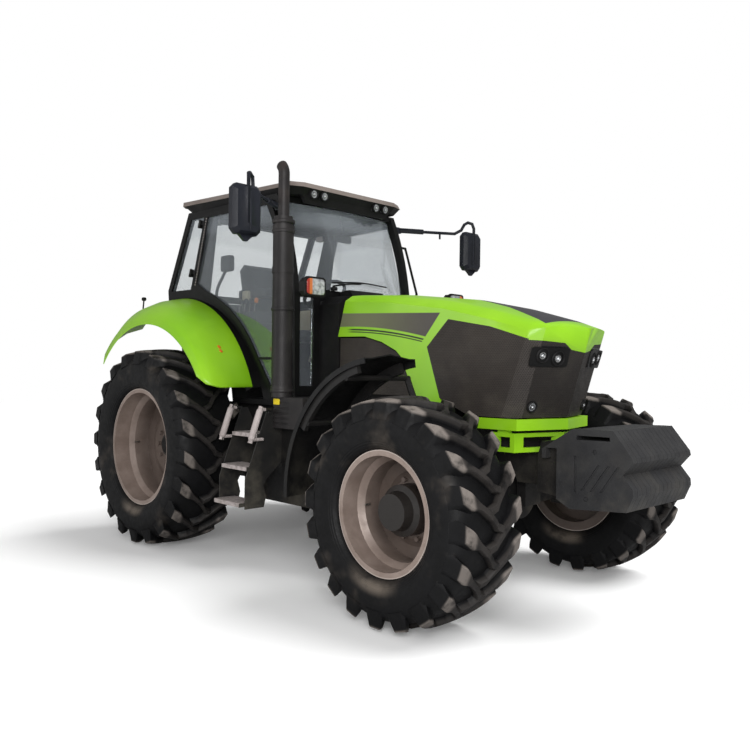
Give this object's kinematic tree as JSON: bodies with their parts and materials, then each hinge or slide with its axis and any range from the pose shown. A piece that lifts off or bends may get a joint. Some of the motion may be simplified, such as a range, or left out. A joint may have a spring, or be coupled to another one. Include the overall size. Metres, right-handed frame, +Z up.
{
  "type": "four-wheel-drive farm tractor",
  "caption": "Green four-wheel-drive row-crop tractor with cab, lifting hood, opening doors, steered front axle, front weights and rear three-point linkage.",
  "frame": {"origin": "on the ground under the middle of the overall length, on the tractor's middle plane", "axes": "+X forward, +Y to the tractor's left, +Z up"},
  "size_m": [5.363, 2.824, 3.1783],
  "materials": {
    "cast_dark": "satin paint",
    "black_plastic": "matte",
    "rim_silver": "satin warm silver",
    "tyre_rubber": "matte",
    "frame_black": "satin",
    "cab_glass": "clear",
    "roof_grey": "satin",
    "interior_grey": "matte",
    "seat_fabric": "woven",
    "cover_green": "gloss",
    "grille_brown": "fine mesh",
    "cover_green_metal": "gloss",
    "weight_iron": "satin paint",
    "shield_black": "satin",
    "lamp_clear": "clear lens"
  },
  "bodies": {
    "chassis": {"transmission": "cast_dark", "engine": "cast_dark", "front_frame": "cast_dark", "front_axle": "cast_dark", "cab_frame": "frame_black", "cab_floor": "frame_black", "cab_mounts": "black_plastic", "wheel_arches": "frame_black", "cab_windows": "cab_glass", "roof_cap": "roof_grey", "roof_fascia": "black_plastic", "roof_lamps": "lamp_clear", "dashboard": "interior_grey", "steering_wheel": "black_plastic", "seat_base": "frame_black", "seat_cushion": "seat_fabric", "seat_back": "seat_fabric", "console": "interior_grey", "rear_fenders": "cover_green", "cowl": "black_plastic", "engine_shields": "black_plastic", "bumper": "cover_green_metal", "weights": "weight_iron", "exhaust": "shield_black", "aftertreatment": "shield_black", "fuel_tank": "black_plastic", "side_box": "black_plastic", "steps": "frame_black", "mirrors": "black_plastic", "pillar_lamps": "lamp_clear", "grab_rail": "frame_black", "drawbar": "cast_dark"},
    "hood": {"hood_cover": "cover_green", "grille": "grille_brown", "head_lamps": "lamp_clear"},
    "door_left": {"door_left": "frame_black", "door_left_glass": "cab_glass"},
    "door_right": {"door_right": "frame_black", "door_right_glass": "cab_glass"},
    "steer_left": {"knuckle_left": "cast_dark", "front_fender_left": "black_plastic"},
    "steer_right": {"knuckle_right": "cast_dark", "front_fender_right": "black_plastic"},
    "front_wheel_left": {"front_rim_left": "rim_silver", "front_tyre_left": "tyre_rubber"},
    "front_wheel_right": {"front_rim_right": "rim_silver", "front_tyre_right": "tyre_rubber"},
    "rear_wheel_left": {"rear_rim_left": "rim_silver", "rear_tyre_left": "tyre_rubber"},
    "rear_wheel_right": {"rear_rim_right": "rim_silver", "rear_tyre_right": "tyre_rubber"},
    "lower_links": {"lower_links": "cast_dark"},
    "lift_rods": {"lift_rods": "cast_dark"},
    "lift_arms": {"lift_arms": "cast_dark"}
  },
  "joints": [
    {"name": "rear_wheel_left_spin", "type": "hinge", "parent": "chassis", "child": "rear_wheel_left", "pos_m": [-1.4895, 1.01, 0.85961], "axis": [0, 1, 0], "continuous": true},
    {"name": "rear_wheel_right_spin", "type": "hinge", "parent": "chassis", "child": "rear_wheel_right", "pos_m": [-1.4895, -1.01, 0.85961], "axis": [0, 1, 0], "continuous": true},
    {"name": "steering_left", "type": "hinge", "parent": "chassis", "child": "steer_left", "pos_m": [1.5435, 0.79, 0.69952], "axis": [0, 0, 1], "range_deg": [-32, 32]},
    {"name": "steering_right", "type": "hinge", "parent": "chassis", "child": "steer_right", "pos_m": [1.5435, -0.79, 0.69952], "axis": [0, 0, 1], "range_deg": [-32, 32]},
    {"name": "front_wheel_left_spin", "type": "hinge", "parent": "steer_left", "child": "front_wheel_left", "pos_m": [1.5435, 1.045, 0.69952], "axis": [0, 1, 0], "continuous": true},
    {"name": "front_wheel_right_spin", "type": "hinge", "parent": "steer_right", "child": "front_wheel_right", "pos_m": [1.5435, -1.045, 0.69952], "axis": [0, 1, 0], "continuous": true},
    {"name": "door_left_hinge", "type": "hinge", "parent": "chassis", "child": "door_left", "pos_m": [-1.477, 0.79741, 2.284], "axis": [0.3016, -0.0158, 0.9533], "range_deg": [0, 70]},
    {"name": "door_right_hinge", "type": "hinge", "parent": "chassis", "child": "door_right", "pos_m": [-1.477, -0.79741, 2.284], "axis": [-0.3016, -0.0158, -0.9533], "range_deg": [0, 70]},
    {"name": "hood_lift", "type": "hinge", "parent": "chassis", "child": "hood", "pos_m": [0.2455, 0, 2.075], "axis": [0, -1, 0], "range_deg": [0, 40]},
    {"name": "lower_links_lift", "type": "hinge", "parent": "chassis", "child": "lower_links", "pos_m": [-1.7395, 0, 0.5], "axis": [0, 1, 0], "range_deg": [-8, 20]},
    {"name": "lift_rods_swing", "type": "hinge", "parent": "lower_links", "child": "lift_rods", "pos_m": [-2.2435, 0, 0.5336], "axis": [0, 1, 0], "range_deg": [-26, 11]},
    {"name": "lift_arms_turn", "type": "hinge", "parent": "chassis", "child": "lift_arms", "pos_m": [-1.8195, 0, 1.06], "axis": [0, 1, 0], "range_deg": [-11, 26]}
  ],
  "couplings": [
    {"joint": "steering_right", "follows": "steering_left", "ratio": 1},
    {"joint": "lift_arms_turn", "follows": "lower_links_lift", "ratio": 1.259},
    {"joint": "lift_rods_swing", "follows": "lower_links_lift", "ratio": -1.279}
  ]
}
